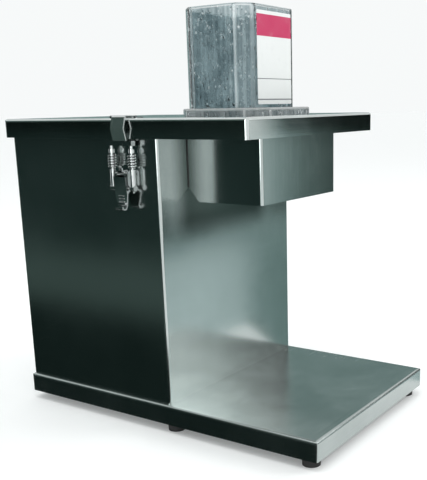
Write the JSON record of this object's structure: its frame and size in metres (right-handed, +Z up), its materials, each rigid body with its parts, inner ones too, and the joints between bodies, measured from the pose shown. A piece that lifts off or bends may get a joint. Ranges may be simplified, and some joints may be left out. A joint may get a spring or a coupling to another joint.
{
  "type": "industrial vegetable dicer",
  "caption": "Bench vegetable dicer: sheet-metal cabinet on a base tray, hinged cover with a clear octagonal hopper, discharge chute and spring toggle latches.",
  "frame": {"origin": "on the floor, under the middle of the bounding box", "axes": "+Z up, -Y towards the chute and the front of the base, +X to the right seen from the front"},
  "size_m": [0.284, 0.429, 0.455],
  "materials": {
    "sheet_steel": "brushed stainless sheet",
    "polished_steel": "polished stainless",
    "spring_steel": "bright spring wire",
    "cutting_steel": "ground stainless",
    "fasteners": "bright stainless",
    "machined_steel": "turned steel",
    "cast_iron": "cast and turned",
    "motor_paint": "painted aluminium casting",
    "rubber": "black rubber",
    "clear_plastic": "clear scuffed polycarbonate",
    "black_plastic": "moulded black",
    "red_plastic": "moulded red"
  },
  "bodies": {
    "frame": {"base_tray": "sheet_steel", "rubber_feet": "rubber", "foot_bolts": "fasteners", "cabinet_shell": "sheet_steel", "cabinet_back": "sheet_steel", "cabinet_bolts": "fasteners", "rear_panel": "sheet_steel", "panel_screws": "fasteners", "deck_plate": "sheet_steel", "deck_bolts": "fasteners", "chamber_ring": "sheet_steel", "grid_frame": "cutting_steel", "grid_knives_along": "cutting_steel", "grid_knives_across": "cutting_steel", "bearing_housing": "cast_iron", "housing_bolts": "fasteners", "bearings": "machined_steel", "shaft_seal": "rubber", "motor_plate": "machined_steel", "motor_body": "motor_paint", "motor_bolts": "fasteners", "drive_belt": "rubber", "discharge_chute": "sheet_steel", "chute_screws": "fasteners", "hinge_cabinet_leaves": "polished_steel", "hinge_pins": "polished_steel", "latch_base_left": "polished_steel", "latch_base_right": "polished_steel", "switch_bezel": "black_plastic", "cable_gland": "black_plastic"},
    "cover": {"cover_pan": "sheet_steel", "hopper_tube": "clear_plastic", "hopper_flange": "clear_plastic", "hopper_screws": "fasteners", "keeper_left": "polished_steel", "keeper_right": "polished_steel", "hinge_cover_leaves": "polished_steel"},
    "cutter": {"slicing_disc": "cutting_steel", "slicing_blade": "cutting_steel", "blade_screws": "fasteners", "disc_nut": "cutting_steel", "spindle": "machined_steel", "driven_pulley": "cast_iron"},
    "rotor": {"motor_shaft": "machined_steel", "drive_pulley": "cast_iron"},
    "lever_left": {"latch_lever_left": "polished_steel"},
    "hook_left": {"latch_hook_left": "polished_steel", "latch_springs_left": "spring_steel"},
    "lever_right": {"latch_lever_right": "polished_steel"},
    "hook_right": {"latch_hook_right": "polished_steel", "latch_springs_right": "spring_steel"},
    "rocker": {"switch_rocker": "red_plastic"}
  },
  "joints": [
    {"name": "cover_hinge", "type": "hinge", "parent": "frame", "child": "cover", "pos_m": [0, 0.2005, 0.316], "axis": [-1, 0, 0], "range_deg": [0, 95]},
    {"name": "cutter_spin", "type": "hinge", "parent": "frame", "child": "cutter", "pos_m": [0, 0.0345, 0.3], "axis": [0, 0, 1], "continuous": true},
    {"name": "rotor_spin", "type": "hinge", "parent": "frame", "child": "rotor", "pos_m": [0, 0.1285, 0.23], "axis": [0, 0, 1], "continuous": true},
    {"name": "latch_left", "type": "hinge", "parent": "frame", "child": "lever_left", "pos_m": [-0.1325, 0.0185, 0.284], "axis": [0, 1, 0], "range_deg": [0, 120]},
    {"name": "hook_left", "type": "hinge", "parent": "lever_left", "child": "hook_left", "pos_m": [-0.1325, 0.0185, 0.27], "axis": [0, 1, 0], "range_deg": [-120, 0]},
    {"name": "latch_right", "type": "hinge", "parent": "frame", "child": "lever_right", "pos_m": [0.1325, 0.0185, 0.284], "axis": [0, -1, 0], "range_deg": [0, 120]},
    {"name": "hook_right", "type": "hinge", "parent": "lever_right", "child": "hook_right", "pos_m": [0.1325, 0.0185, 0.27], "axis": [0, -1, 0], "range_deg": [-120, 0]},
    {"name": "switch_rock", "type": "hinge", "parent": "frame", "child": "rocker", "pos_m": [0.118, 0.1465, 0.236], "axis": [0, -1, 0], "range_deg": [0, 18]}
  ],
  "couplings": [
    {"joint": "rotor_spin", "follows": "cutter_spin", "ratio": 1.68},
    {"joint": "hook_left", "follows": "latch_left", "ratio": -1},
    {"joint": "hook_right", "follows": "latch_right", "ratio": -1}
  ]
}
